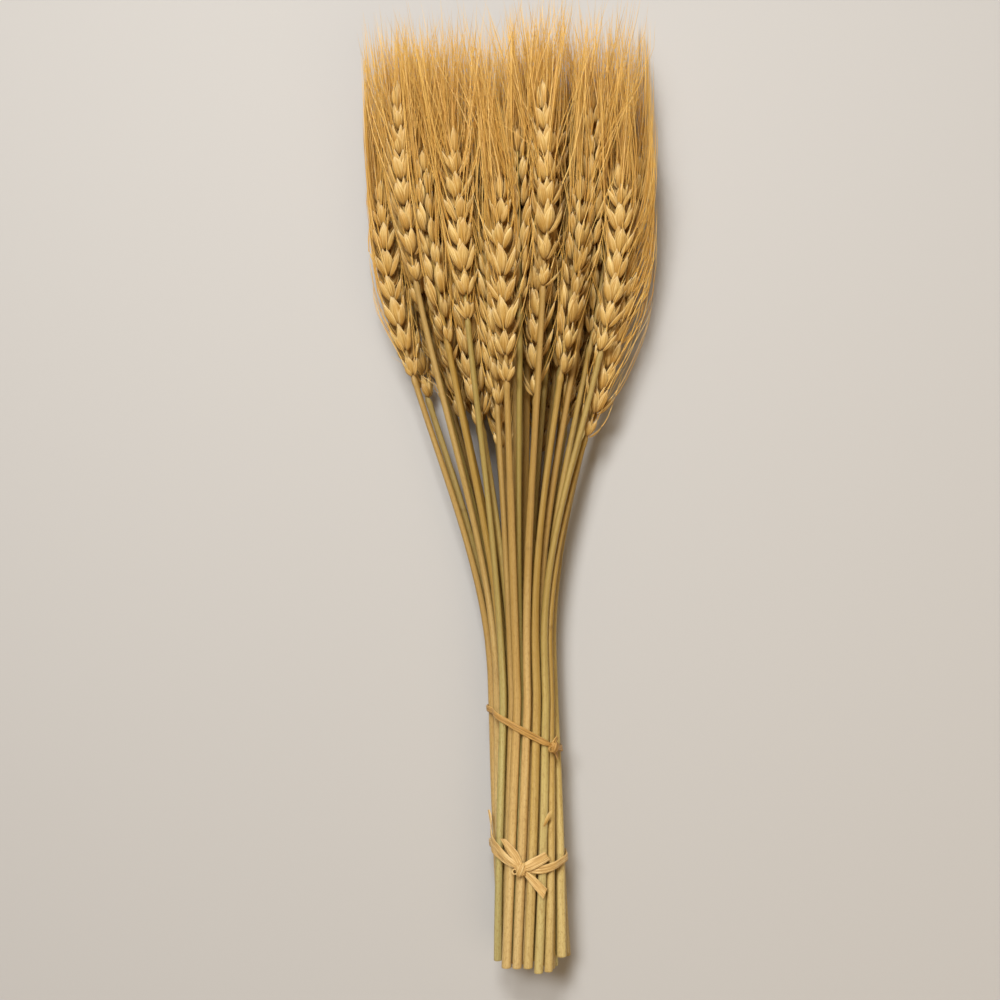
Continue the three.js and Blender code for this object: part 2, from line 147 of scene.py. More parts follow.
# The bracts of a spikelet: width, root, tip, the angle it faces, belly and depth. Its root and tip are how
# far out from the ear's axis, sideways and up.
BRACTS = (
    (4.7, (1.6, 0.7, 0.0), (3.1, 4.6, 10.2), 50, 0.6, 1.25),
    (4.7, (1.6, -0.7, 0.0), (3.1, -4.6, 10.2), -50, 0.6, 1.25),
    (3.9, (1.4, 1.0, 1.2), (2.3, 5.0, 12.8), 68, 0.4, 1.15),
    (3.9, (1.4, -1.0, 1.2), (2.3, -5.0, 12.8), -68, 0.4, 1.15),
    (5.0, (1.9, 0.0, 0.9), (5.0, 0.3, 12.4), 0, 0.5, 1.2),
    (3.6, (1.2, 0.0, 3.0), (3.6, -0.5, 14.0), 0, 0.5, 1.0),
)
GLUMES = 2  # the first of them, with a glume's outline
SPIKELET_SIZES = (0.91, 1.07)
TIP_SHIFT = 0.52  # of the tips from their places, as a deviation
BRACT_REACH = 5.45  # a tip's most from the ear's axis
FLARE = 1.5  # how much further out a flared bract's tip is
FLARE_REACH, FLARE_WIDTH = 7.6, 0.74
FLARE_SHARE, SIDE_REACH = 0.16, 1  # of those bracts whose tips are further sideways than that
RIGHT_FLARE_SHARE, RIGHT_REACH = 0.5, 1.5  # of those of them that are further to the right than that

# The top spikelet's bracts: towards the ranks and across them, how far out the tip is, and how far up
TOP_BRACTS = (
    (0, 1, 1.9, 8.4), (0, -1, 1.9, 8.2), (1, 0, 1.5, 9.8), (-1, 0, 1.6, 9.5), (0.2, 0, 0.5, 11.5),
)
TOP_SIZES = (3.1, 0.9, 0.9)  # width, depth and belly
TOP_ROOT_DEPTH, TOP_ROOT_REACH = 1.5, 0.4
TOP_BARE = 2  # the first of them, without awns

# Awns: a way is the direction that one sets out in
AWN_STEPS = np.array([0, 0.08, 0.2, 0.36, 0.56, 0.78, 1])
AWN_SIDES = 3
AWN_RADIUS = (0.136, 0.184)
AWN_TAPER = 0.45  # how much of that is lost by the tip
AWN_ROOT, AWN_ROOT_END = 0.8, 0.07  # what is added at the root, and how soon that goes
AWN_SUNK = 0.4  # how deep in its bract an awn starts
AWN_GROWTH = (0.4, 1.2)  # the lowest and highest awns' length, as shares
AWN_GROWTH_RANGE = (-0.1, 0.62)  # and how far up the ear these are
AWN_LENGTHS = (0.84, 1.14)
SHORTEST_AWN = 12
AWN_TOP_MIDDLE = 415
TOP_OVER, TOP_UNDER, TOP_POWER = 5, 18, 1.6  # awns end up to this much over their top, or rarely far under it
SECOND_SHARE, SECOND_START = 0.95, 0.4  # of the bracts from that height up, with a second awn
AWN_TURN = 0.13  # the share of its length in which an awn turns to its own direction
AWN_BOW = 0.028
OWN_WAY = 0.09  # how much of its way stays in that direction
AWN_SPREAD, STRAY_SPREAD, STRAY_SHARE = 0.115, 0.26, 0.2
HELD_FROM = 0.14  # from there on an awn is held in the solids' box
SIDE_MARGIN, END_MARGIN = 0.6, 0.5
FREE_SHARE = 0.84  # of the way to the box's side, before it bends awns
OFF_AWNS = (0.3, 0.1, 1.0)  # a direction that no awn runs in

# How awns keep clear of the ears that show: each takes the clearest of a few directions
AWN_TRIES = 16
WAY_STEPS = np.linspace(0.15, 0.95, 6)
SHOWN_STEPS = np.linspace(0, 1, 9)
HIDE_REACH, HIDE_FADE = 7.5, 5  # how far from its axis an ear hides another, less in the last of it
FACE_HALF, FACE_DEPTH = 5.4, 4  # from an ear's axis, sideways and down, what lies on it
OVER_LIMIT, KEPT_SHARE = 5, 0.36  # where all that is more, this share of awns is kept

# The ties: angles are round the bundle, from its right side over its top, in degrees
TIE_SLICES = 112
LOWER_TIE = {"middle": 49.5, "dip": 6, "slope": 3.1, "width": 3.6, "thickness": 1.1}
UPPER_TIE = {"middle": 104, "dip": 0, "slope": 9.5, "width": 3, "thickness": 0.85}
LOWER_KNOT = {"angle": 102, "y": 43.5, "across": 2.9, "along": 3.1, "high": 1.5, "lift": 0.6}
UPPER_KNOT = {"angle": 43, "y": 96.5, "across": 2.7, "along": 2.5, "high": 1.4, "lift": 0.4}
KNOT_PINCH = (0.34, 13)  # how much narrower a tie is at its knot, and over which angle
WIDTH_WAVES = (0.06, 3)  # height, and number round the bundle
RIPPLES = (0.18, 5)
TIE_PHASES = 6
# Round a strip of raffia: places across it, from -1 to 1, on its folded outside and on its back
STRIP_ARC = np.array([-1, -0.86, -0.5, -0.16, 0.2, 0.56, 0.88, 1])
STRIP_CREST = np.array([0.4, 0.84, 0.98, 0.86, 1.0, 0.92, 0.8, 0.4])
STRIP_BACK = np.array([0.8, 0.3, -0.3, -0.8])
STRIP_EDGES = (-0.5, 0.5)
EDGE_POWER = 4  # how narrow a strip's worn edges are
TAIL_THICKNESS = 0.62
TAIL_SLICES = 16
CURL, CURL_RUN = 0.22, 5
# A tail's places: angle, y, width and height over the stems
LOWER_TAILS = (
    ((101, 44, 2.8, 1.6), (92, 45, 4.2, 2.1), (82, 46.4, 4.6, 1.8), (64, 49.2, 4.6, 1.6)),
    ((98, 42.5, 2.2, 1.0), (90, 40, 3.0, 0.8), (82, 37.5, 3.7, 0.6), (69, 32.6, 4.2, 1.2)),
    ((103, 45, 2.2, 1.3), (108, 48.5, 3.4, 1.2), (114, 51.5, 3.9, 1.2), (127, 57, 2.1, 1.7)),
    (
        (107, 45, 2.2, 1.2), (132, 50.5, 4.0, 1.2), (157, 56.5, 3.2, 0.7),
        (170, 62.5, 1.9, 0.7), (174, 68, 0.5, 1.2),
    ),
)
UPPER_TAILS = (
    ((45, 97, 2.2, 0.9), (39, 98.8, 2.5, 1.1), (33, 100.5, 2.1, 1.2)),
    ((42, 96, 2.0, 0.8), (36, 93.8, 2.3, 0.6), (31, 91.5, 2.4, 0.6)),
)
TAIL_SLANTS = (0.08, 0.5, -0.7, 0.0)  # of the tails' cut ends

# A knot's lump, the bands over it and the eye beside it, mostly as shares of the knot
LUMP_SIDES, LUMP_RINGS, LUMP_END = 20, 11, 78
LUMP_FOLD = 0.07
LUMP_SHARES = {"across": 0.8, "along": 0.82, "high": 0.9}
LUMP_TIP = 0.84
LUMP_GRAIN = (1.2, 3, 31)  # round it, along it, and its own number
BANDS = ((0.45, 1.0), (-0.6, 0.86))  # how far each one slants across, and its size
BAND_REACH, BAND_WAIST = 0.92, 0.25
EYE_OUT, EYE_BACK = 0.92, 0.7

# A stalk's seed, and the ranges of the numbers that set the bodies' patterns apart
STALK_SEED = 7000
STEM_SEED_STEP, HUSK_SEEDS, RAFFIA_SEEDS, AWN_SEEDS = 10, 40, 50, 60

# The meshes
STEM, HUSK, AWN = 0, 1, 2  # the places of a stalk's materials
RAFFIA = 0  # and of a tie's
GRAIN_RADIUS = 1.9
SHARP_ANGLE = 52  # degrees
STALK_FLOOR = 0.05  # over the floor
NEARBY = 2  # how far off a stalk's direction is measured


def mix(low, high, share):
    return low + (high - low) * share


def smoothstep(low, high, at):
    """From 0 at low to 1 at high, without a corner."""
    t = np.clip((np.asarray(at, float) - low) / (high - low), 0, 1)
    return t * t * (3 - 2 * t)


def swelling(at, middle, height, length):
    """A smooth rise of that height about a middle."""
    return height * np.exp(-(((at - middle) / length) ** 2))


def unit(vectors):
    return vectors / np.linalg.norm(vectors, axis=-1, keepdims=True)


def stacked(*parts):
    """Vectors from their x, y and z, or from other parts alike."""
    return np.stack(np.broadcast_arrays(*parts), axis=-1)


def with_ends(start, rings, end):
    """A loft's values, vertex by vertex: its start's, its rings' and its end's."""
    return np.concatenate([[start], rings.reshape(-1, *np.shape(start)), [end]])


def draws_from(seed):
    """Numbers from 0 to 1, the same ones as the solids draw for that seed."""
    state = seed * SEED_FACTOR + SEED_SHIFT
    for number in itertools.count():
        state = (state * DRAW_FACTOR + DRAW_SHIFT) % DRAW_RANGE
        if number >= DRAWS_SKIPPED:
            yield state / DRAW_RANGE


def points_of(node):
    """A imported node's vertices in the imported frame, in millimetres."""
    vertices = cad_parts[node].data.vertices
    places = np.empty(3 * len(vertices), np.float32)
    vertices.foreach_get("co", places)
    points = places.reshape(-1, 3).astype(float) / MILLIMETRE
    return np.unique(np.round(points, POINT_DECIMALS), axis=0)


class Stalk:
    """One stalk: what was drawn for it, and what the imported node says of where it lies."""

    def __init__(self, index):
        self.index = index
        self.node = f"stalk_{index + 1:02d}"
        draws = draws_from(index + 1)
        for name, limits in DRAWN.items():
            setattr(self, name, mix(*limits, next(draws)))
        self.ear_start = mix(*EAR_START, (EAR_FIRST + index * EAR_STEP + EAR_CHANCE * next(draws)) % 1)
        points = points_of(self.node)
        self.shift = points[:, 1].min() - self.cut
        self.twisted = self.ring_middle(points, TWISTED_RING)
        self.straight = self.ring_middle(points, STRAIGHT_RING)
        out = smoothstep(self.fan_start, self.fan_end, self.ear_start)
        self.head = self.straight + (self.ring_middle(points, self.ear_start) - self.straight) / out

    def ring_middle(self, points, y):
        """The middle of the stem's ring at y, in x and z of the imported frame."""
        ring = points[np.abs(points[:, 1] - y - self.shift) < RING_REACH]
        return ring[:, [0, 2]].mean(axis=0)


def twist_at(y):
    """How far the stems are turned at y, in radians, and how much wider they stand there."""
    return TWIST * np.maximum(0, 1 - y / TWIST_END), 1 + BUTT_FLARE * np.maximum(0, 1 - y / FLARE_END)


def find_middle(stalks):
    """The bundle's middle in x and z, round which its stems are twisted."""
    turn, flare = twist_at(TWISTED_RING)
    c, s = math.cos(turn), math.sin(turn)
    part = flare * np.array([[c, s], [-s, c]])
    whole = (np.eye(2) - part).T
    found = [np.linalg.solve(whole, stalk.twisted - stalk.straight @ part) for stalk in stalks]
    return np.mean(found, axis=0)


def axis_at(stalk, y):
    """Where a stalk's axis lies at y, from the bundle's middle: twisted in the ties, then out in the fan."""
    y = np.asarray(y, float)
    turn, flare = twist_at(y)
    x = flare * (stalk.x * np.cos(turn) - stalk.z * np.sin(turn))
    z = flare * (stalk.x * np.sin(turn) + stalk.z * np.cos(turn))
    out = smoothstep(stalk.fan_start, stalk.fan_end, y)
    return stacked(mix(x, stalk.head_x, out), y, mix(z, stalk.head_z, out))


def stem_radius_at(stalk, y):
    return stalk.radius * mix(1, NECK_SHARE, np.maximum(0, y) / stalk.ear_start)


def ear_frame(stalk, y):
    """The directions along a stalk at y, towards its two ranks of spikelets, and across them."""
    y = np.asarray(y, float)
    along = unit(axis_at(stalk, y + NEARBY) - axis_at(stalk, y - NEARBY))
    flat = unit(np.array([1.0, 0, 0]) - along * along[..., :1])
    up = np.cross(flat, along)
    rank = flat * math.cos(stalk.roll) + up * math.sin(stalk.roll)
    return along, rank, np.cross(along, rank)


def beside(stalk, y, out, sideways):
    """Places beside a stalk's axis at y, out towards one rank and sideways across the ranks."""
    _, rank, across = ear_frame(stalk, y)
    return axis_at(stalk, y) + rank * np.asarray(out)[..., None] + across * np.asarray(sideways)[..., None]


def find_shown(stalk, stalks):
    """How free of other ears over it an ear is, at steps along it."""
    y = stalk.ear_start + stalk.ear_length * SHOWN_STEPS
    shown = np.ones(len(y))
    for other in stalks:
        apart = axis_at(other, y) - axis_at(stalk, y)
        over = (y > other.ear_start) & (y < other.ear_start + other.ear_length) & (apart[:, 2] > 0)
        shown *= 1 - over * np.clip((HIDE_REACH - np.abs(apart[:, 0])) / HIDE_FADE, 0, 1)
    return shown


class Bundle:
    """The stalks where they lie, and what the ties are laid round."""

    def __init__(self):
        self.stalks = [Stalk(index) for index in range(STALKS)]
        middle = find_middle(self.stalks)
        for stalk in self.stalks:
            stalk.x, stalk.z = stalk.straight - middle
            stalk.head_x, stalk.head_z = stalk.head - middle
        for stalk in self.stalks:
            stalk.shown = find_shown(stalk, self.stalks)
        self.origin = np.array([middle[0], self.stalks[0].shift, middle[1]])
        self.floor = -middle[1]
        self.radius = max(math.hypot(stalk.x, stalk.z) + stalk.radius for stalk in self.stalks)

    def scrap_stalk(self):
        """The stalk that carries the scrap of sheath."""
        y = SCRAP["y"]
        near = [stalk for stalk in self.stalks if abs(axis_at(stalk, y)[0] - SCRAP["x"]) < SCRAP["near"]]
        return max(near, key=lambda stalk: axis_at(stalk, y)[2])


def loft_faces(rings, sides):
    """The faces of a closed body: vertex 0 is its start, then come its rings, and last its end."""
    faces = []
    for side in range(sides):
        after = (side + 1) % sides
        faces.append((0, 1 + after, 1 + side))
        for ring in range(rings - 1):
            low = 1 + ring * sides
            faces.append((low + side, low + after, low + sides + after, low + sides + side))
        low = 1 + (rings - 1) * sides
        faces.append((low + side, low + after, 1 + rings * sides))
    return faces


def ring_faces(rings, sides):
    """The faces of a tube whose last ring meets its first."""
    faces = []
    for ring in range(rings):
        low, high = ring * sides, (ring + 1) % rings * sides
        for side in range(sides):
            after = (side + 1) % sides
            faces.append((low + side, low + after, high + after, high + side))
    return faces


def add_object(name, data):
    made = bpy.data.objects.new(name, data)
    bpy.context.scene.collection.objects.link(made)
    return made


def add_attribute(mesh, name, values):
    """Gives the vertices of a mesh an attribute, of numbers or vectors, that its materials read."""
    kind, field = ("FLOAT", "value") if values.ndim == 1 else ("FLOAT_VECTOR", "vector")
    layer = mesh.attributes.new(name, kind, "POINT")
    layer.data.foreach_set(field, values.astype(np.float32).ravel())


def finish_mesh(mesh):
    """Turns the normals outwards, and makes a mesh smooth but for its rims."""
    outward = bmesh.new()
    outward.from_mesh(mesh)
    bmesh.ops.recalc_face_normals(outward, faces=outward.faces)
    outward.to_mesh(mesh)
    outward.free()
    mesh.polygons.foreach_set("use_smooth", np.ones(len(mesh.polygons), bool))
    mesh.set_sharp_from_angle(angle=math.radians(SHARP_ANGLE))
    mesh.update()


class Surface:
    """A mesh under construction. A vertex's grain is its place in the material's patterns: sideways, along
    and the body's own number. Its share is how far along its body it is. Its mark is how dark a stem is
    there, from its joints and sheath rim or as painted shade in its hollow cut end, or how near the rim of a
    bract or a strip it is."""

    def __init__(self):
        self.points, self.grain, self.share, self.mark = [], [], [], []
        self.faces, self.kinds = [], []
        self.count = 0

    def add(self, points, grain, share, faces, kind, mark=0.0):
        """One or more bodies alike: points is (bodies, vertices, 3), and faces are of one body."""
        bodies, vertices = points.shape[:2]
        self.points.append(points.reshape(-1, 3))
        self.grain.append(np.broadcast_to(grain, points.shape).reshape(-1, 3))
        self.share.append(np.broadcast_to(share, (bodies, vertices)).ravel())
        self.mark.append(np.broadcast_to(mark, (bodies, vertices)).ravel())
        for body in range(bodies):
            start = self.count + body * vertices
            self.faces.extend([tuple(start + corner for corner in face) for face in faces])
        self.kinds.extend([kind] * (bodies * len(faces)))
        self.count += bodies * vertices

    def make(self, name, materials, origin, floor):
        """The piece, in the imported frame. What is under the floor or out of the solids' box is moved in."""
        points = np.clip(np.concatenate(self.points) + origin, (BOX[0][0], BOX[0][1], floor), BOX[1])
        mesh = bpy.data.meshes.new(name)
        mesh.from_pydata((points * MILLIMETRE).tolist(), [], self.faces)
        for attribute in ("grain", "share", "mark"):
            add_attribute(mesh, attribute, np.concatenate(getattr(self, attribute)))
        for material in materials:
            mesh.materials.append(material)
        mesh.polygons.foreach_set("material_index", np.array(self.kinds, np.int32))
        finish_mesh(mesh)
        made = add_object(name, mesh)
        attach(made, "root")
        return made


def stem_heights(stalk, sheath, joint):
    """The heights of a stem's rings over its hollow: evenly spaced, and closer where its width changes."""
    steps = np.arange(stalk.cut + STEPS_START, stalk.ear_start - STEPS_END, STEM_STEP)
    steps = steps[(np.abs(steps - sheath) > RIM_ROOM) & (np.abs(steps - joint) > JOINT_ROOM)]
    ear_end = stalk.ear_start + stalk.ear_length
    core = np.linspace(stalk.ear_start + CORE_START, ear_end - CORE_END, CORE_RINGS)
    close = [sheath + RIM_RINGS, joint + JOINT_RINGS, stalk.ear_start + COLLAR_RINGS]
    return np.sort(np.concatenate([[stalk.cut + FIRST_RING], steps, *close, core]))


def stem_radii(stalk, y, sheath, joint, jointed):
    """A stem's radius at its rings: more in its sheath, at its joint and collar, and little in the ear."""
    radius = stem_radius_at(stalk, y) * mix(*SHEATH_WIDTHS, smoothstep(*(sheath + RIM_RINGS), y))
    radius *= 1 + jointed * swelling(y, joint, *JOINT_SWELLING)
    radius *= 1 + swelling(y, stalk.ear_start, *COLLAR_SWELLING)
    core = CORE_RADIUS - CORE_TAPER * (y - stalk.ear_start) / stalk.ear_length
    return np.where(y > stalk.ear_start + CORE_RISE, core, radius)


def add_straw(surface, stalk, y, radius, mark, rng):
    """The stem's body from its rings, a little oval and uneven."""
    angle = np.linspace(0, 2 * np.pi, STEM_SIDES, endpoint=False)
    oval = 1 + OVAL * np.cos(2 * angle + STEM_PHASES * rng.random())
    ring = stacked(np.cos(angle) * oval, 0.0, np.sin(angle) * oval)
    waves = WAVE_HEIGHT * np.sin(y / WAVE_LENGTH + STEM_PHASES * rng.random())
    radius = radius + waves * (y > WAVES_START) * (y < stalk.ear_start)
    rings = axis_at(stalk, y)[:, None] + ring[None] * radius[:, None, None]
    points = with_ends(axis_at(stalk, y[0]), rings, axis_at(stalk, y[-1] + STEM_TIP))
    seed = STEM_SEED_STEP * (stalk.index + rng.random())
    grain = stacked(GRAIN_RADIUS * np.cos(angle), y[:, None], GRAIN_RADIUS * np.sin(angle) + seed)
    grain = with_ends([0, y[0], seed], grain, [0, y[-1], seed])
    share = with_ends(0, np.repeat(y / stalk.ear_start, STEM_SIDES), STEM_TIP_SHARE)
    # The mark is painted shade deep in the hollow cut end, darkest at the start vertex at its bottom, and
    # elsewhere the dark joint and sheath rim
    marks = with_ends(1, np.repeat(mark, STEM_SIDES), 0)
    surface.add(points[None], grain, share, loft_faces(len(y), STEM_SIDES), STEM, marks)


def grow_stem(surface, stalk, rng):
    """The straw, from its hollow cut end to its collar under the ear, and on as a thin core in the ear."""
    sheath = mix(*SHEATH_END, rng.random())
    joint = mix(*JOINT_PLACE, rng.random())
    jointed = rng.random() < JOINT_SHARE
    y = stem_heights(stalk, sheath, joint)
    radius = stem_radii(stalk, y, sheath, joint, jointed)
    darkness = jointed * mix(*JOINT_DARKNESS, rng.random() ** 2)
    mark = swelling(y, joint, darkness, JOINT_DARK_LENGTH) + swelling(y, sheath, *RIM_DARKNESS)
    # The last column is painted shade inside the hollow cut end
    rise, depth, share, hollow_shade = CUT_RINGS.T
    y = np.concatenate([stalk.cut + rise, y])
    radius = np.concatenate([(radius[0] - depth) * share, radius])
    add_straw(surface, stalk, y, radius, np.concatenate([hollow_shade, mark]), rng)


def grow_scrap(surface, stalk, rng):
    """The loose scrap of sheath, still held at its lower end."""
    root = axis_at(stalk, SCRAP["y"]) + (0, 0, stem_radius_at(stalk, SCRAP["y"]) * SCRAP["root"])
    tip = root + SCRAP["run"]
    sizes = (np.array([size]) for size in SCRAP_SIZES)
    add_bracts(surface, root[None], tip[None], np.array([SCRAP["faces"]]), *sizes, GLUME_WIDTH, rng)


def spikelet_places(stalk):
    """Each spikelet's size, side and root height, as the solids have them."""
    number = np.arange(SPIKELETS)
    share = number / SPIKELETS
    low = mix(LOW_SIZE, 1, smoothstep(0, LOW_END, share))
    high = mix(1, HIGH_SIZE, smoothstep(HIGH_START, 1, share))
    pitch = (stalk.ear_length - TERMINAL_LENGTH) / SPIKELETS
    return low * high, np.where(number % 2, -1.0, 1.0), stalk.ear_start + FIRST_RISE + pitch * number


def bract_section():
    """How far a bract's rings stand out, as shares of its depth: keeled outside, hollow inside."""
    outer = 1 - np.abs(OUTER_ARC) ** CROWN_POWER + KEEL * (OUTER_ARC == 0)
    inner = (1 - np.abs(INNER_ARC) ** CROWN_POWER) * (1 - BRACT_SOLID[:, None])
    return BRACT_DEPTH[:, None] * np.concatenate([np.tile(outer, (len(BRACT_RINGS), 1)), inner], axis=1)


def bract_spines(root, tip, facing, belly):
    """The middles of the bracts' rings, and their directions along, to the side and out."""
    v = BRACT_RINGS[None, :, None]
    long = tip - root
    bulge = belly[:, None, None] * (4 * v * (1 - v) * (1.25 - 0.5 * v))
    lean = belly[:, None, None] * (5 - 13 * v + 6 * v * v)
    middle = root[:, None] + long[:, None] * v + facing[:, None] * bulge
    along = unit(long[:, None] + facing[:, None] * lean)
    side = unit(np.cross(along, facing[:, None]))
    return middle, along, side, np.cross(side, along)


def add_bracts(surface, root, tip, facing, width, depth, belly, outline, rng):
    """Bracts, each like a boat: keeled outside, filled below and hollow towards its pointed tip.
    It gives the directions that their tips point in."""
    middle, along, side, out = bract_spines(root, tip, facing, belly)
    wide = (width / 2)[:, None, None] * outline[:, None] * BRACT_ARC
    high = depth[:, None, None] * bract_section()
    points = middle[:, :, None] + side[:, :, None] * wide[..., None] + out[:, :, None] * high[..., None]
    points = np.concatenate([root[:, None], points.reshape(len(root), -1, 3), tip[:, None]], axis=1)
    share = with_ends(0, np.repeat(BRACT_RINGS, len(BRACT_ARC)), 1)
    across = with_ends(0, np.tile(BRACT_ARC, len(BRACT_RINGS)), 0) * (width / 2)[:, None]
    rim = with_ends(0, np.tile(np.abs(BRACT_ARC) ** RIM_POWER, len(BRACT_RINGS)), 1)
    length = np.linalg.norm(tip - root, axis=1)
    seed = rng.random(len(root))[:, None] * HUSK_SEEDS
    grain = stacked(across, share * length[:, None], seed)
    surface.add(points, grain, share, loft_faces(len(BRACT_RINGS), len(BRACT_ARC)), HUSK, rim)
    return along[:, -1]


def draw_reach(tip, size, side, rank, across, rng):
    """How far one bract's tips reach out, sideways and up on each spikelet, and which of them are flared."""
    reach = np.array(tip) * size[:, None] + rng.normal(0, TIP_SHIFT, (len(size), 3))
    out, sideways, _ = tip
    to_right = side * out * rank[:, 0] + sideways * across[:, 0] > RIGHT_REACH
    share = np.where(to_right, RIGHT_FLARE_SHARE, FLARE_SHARE)
    flared = (rng.random(len(size)) < share) & (abs(sideways) > SIDE_REACH)
    reach[:, :2] *= np.where(flared, FLARE, 1)[:, None]
    limit = np.where(flared, FLARE_REACH, BRACT_REACH)
    reach[:, :2] *= np.minimum(1, limit / np.linalg.norm(reach[:, :2], axis=1))[:, None]
    return reach, flared


def grow_spikelets(surface, stalk, rng):
    """The two ranks of spikelets. It gives where their awns are rooted, the directions that these set out in,
    and how far up the ear they are."""
    size, side, y = spikelet_places(stalk)
    size = size * mix(*SPIKELET_SIZES, rng.random(SPIKELETS))
    _, rank, across = ear_frame(stalk, y)
    roots, ways = [], []
    for number, (width, root, tip, faces, belly, depth) in enumerate(BRACTS):
        reach, flared = draw_reach(tip, size, side, rank, across, rng)
        out, sideways, rise = root
        root = beside(stalk, y + rise * size, side * out * size, sideways * size)
        tip = beside(stalk, y + reach[:, 2], side * reach[:, 0], reach[:, 1])
        turn = math.radians(faces)
        facing = unit(rank * (side * math.cos(turn))[:, None] + across * math.sin(turn))
        sizes = (width * size * np.where(flared, FLARE_WIDTH, 1), depth * size, belly * size)
        outline = GLUME_WIDTH if number < GLUMES else LEMMA_WIDTH
        roots.append(tip)
        ways.append(add_bracts(surface, root, tip, facing, *sizes, outline, rng))
    return np.concatenate(roots), np.concatenate(ways), np.tile(np.arange(SPIKELETS) / SPIKELETS, len(BRACTS))


def grow_top(surface, stalk, rng):
    """The spikelet at the top of the ear, turned a quarter. It gives what grow_spikelets gives."""
    y = stalk.ear_start + FIRST_RISE + (stalk.ear_length - TERMINAL_LENGTH)
    _, rank, across = ear_frame(stalk, y)
    roots, tips, facings = [], [], []
    for to_rank, to_across, out, rise in TOP_BRACTS:
        way = rank * to_rank + across * to_across
        roots.append(axis_at(stalk, y - TOP_ROOT_DEPTH) + way * TOP_ROOT_REACH)
        tips.append(axis_at(stalk, y + rise) + way * out)
        facings.append(unit(way))
    sizes = (np.full(len(tips), size) for size in TOP_SIZES)
    roots, tips, facings = np.array(roots), np.array(tips), np.array(facings)
    ways = add_bracts(surface, roots, tips, facings, *sizes, LEMMA_WIDTH, rng)
    return tips[TOP_BARE:], ways[TOP_BARE:], np.ones(len(tips) - TOP_BARE)


def soft_limit(value, middle, half):
    """Bends what comes near either end of a range, so that it runs along that end."""
    free = FREE_SHARE * half
    far = np.abs(value - middle)
    bent = free + (half - free) * np.tanh(np.maximum(0, far - free) / (half - free))
    return middle + np.sign(value - middle) * np.where(far > free, bent, far)


def over_ears(stalks, roots, ends):
    """How much of each run from a root to its end lies on or over the middle of an ear that shows."""
    points = roots[..., None, :] + (ends - roots)[..., None, :] * WAY_STEPS[:, None]
    over = np.zeros(points.shape[:-1])
    for other in stalks:
        y = points[..., 1]
        apart = points - axis_at(other, y)
        shown = np.interp((y - other.ear_start) / other.ear_length, SHOWN_STEPS, other.shown, 0, 0)
        over += shown * (apart[..., 2] > -FACE_DEPTH) * np.maximum(0, FACE_HALF - np.abs(apart[..., 0]))
    return over.sum(axis=-1)


def awn_ways(stalk, stalks, roots, ways, length, rng):
    """The direction that each awn runs in, of a few drawn the one that leaves the ears most clear, and which
    awns are kept."""
    count = len(roots)
    along, _, _ = ear_frame(stalk, roots[:, 1])
    spread = np.where(rng.random(count) < STRAY_SHARE, STRAY_SPREAD, AWN_SPREAD)[:, None]
    drawn = unit(along + OWN_WAY * (ways - along) + rng.normal(0, 1, (AWN_TRIES, count, 3)) * spread)
    over = over_ears(stalks, roots, roots + drawn * length[:, None])
    kept = (over.min(axis=0) < OVER_LIMIT) | (rng.random(count) < KEPT_SHARE)
    return drawn[over.argmin(axis=0), np.arange(count)], kept


def awn_lines(bundle, roots, ways, final, length, bow):
    """The awns' middles: each sets out in its way, turns, bows and is held in the solids' box."""
    u = AWN_STEPS[None, :, None]
    settle = AWN_TURN * (1 - np.exp(-u / AWN_TURN))
    run = final[:, None] * u + (ways - final)[:, None] * settle + bow * u * u
    points = roots[:, None] + length[:, None, None] * run
    held = points + bundle.origin
    for axis in (0, 2):
        held[..., axis] = soft_limit(held[..., axis], BOX_MIDDLE[axis], BOX_HALF[axis] - SIDE_MARGIN)
    held[..., 1] = np.minimum(held[..., 1], BOX[1][1] - END_MARGIN)
    return mix(points, held - bundle.origin, smoothstep(0, HELD_FROM, u))


def add_awns(surface, points, ways, length, rng):
    """The awns' bodies about their middles, thickest at their roots."""
    count = len(points)
    tangent = unit(np.gradient(points, axis=1))
    side = unit(np.cross(tangent, OFF_AWNS))
    other = np.cross(tangent, side)
    taper = 1 - AWN_TAPER * AWN_STEPS + AWN_ROOT * np.exp(-AWN_STEPS / AWN_ROOT_END)
    thick = mix(*AWN_RADIUS, rng.random((count, 1))) * taper
    turn = rng.random(count)[:, None] * 2 * np.pi
    rings = []
    for corner in range(AWN_SIDES):
        angle = turn + corner * 2 * np.pi / AWN_SIDES
        across, out = thick * np.cos(angle), thick * np.sin(angle)
        rings.append(points + side * across[..., None] + other * out[..., None])
    rings = np.stack(rings, axis=2)[:, :-1].reshape(count, -1, 3)
    body = np.concatenate([points[:, :1] - ways[:, None] * AWN_SUNK, rings, points[:, -1:]], axis=1)
    share = with_ends(0, np.repeat(AWN_STEPS[:-1], AWN_SIDES), 1)
    seed = rng.random(count)[:, None] * AWN_SEEDS
    grain = stacked(0.0, share * length[:, None], seed)
    surface.add(body, grain, share, loft_faces(len(AWN_STEPS) - 1, AWN_SIDES), AWN)


def grow_awns(surface, stalk, bundle, roots, ways, heights, rng):
    """The awns, each from a bract's tip: it turns up beside the ear and runs on, spreading a little."""
    grown = mix(*AWN_GROWTH, smoothstep(*AWN_GROWTH_RANGE, heights))
    length = stalk.awn_reach * grown * mix(*AWN_LENGTHS, rng.random(len(roots)))
    final, kept = awn_ways(stalk, bundle.stalks, roots, ways, length, rng)
    roots, ways, length, final = (values[kept] for values in (roots, ways, length, final))
    top = (stalk.awn_top + AWN_TOP_MIDDLE) / 2
    ceiling = top + TOP_OVER - TOP_UNDER * rng.random(len(roots)) ** TOP_POWER
    length = np.minimum(length, np.maximum(SHORTEST_AWN, (ceiling - roots[:, 1]) / final[:, 1]))
    bow = rng.normal(0, AWN_BOW, (len(roots), 1, 3))
    add_awns(surface, awn_lines(bundle, roots, ways, final, length, bow), ways, length, rng)


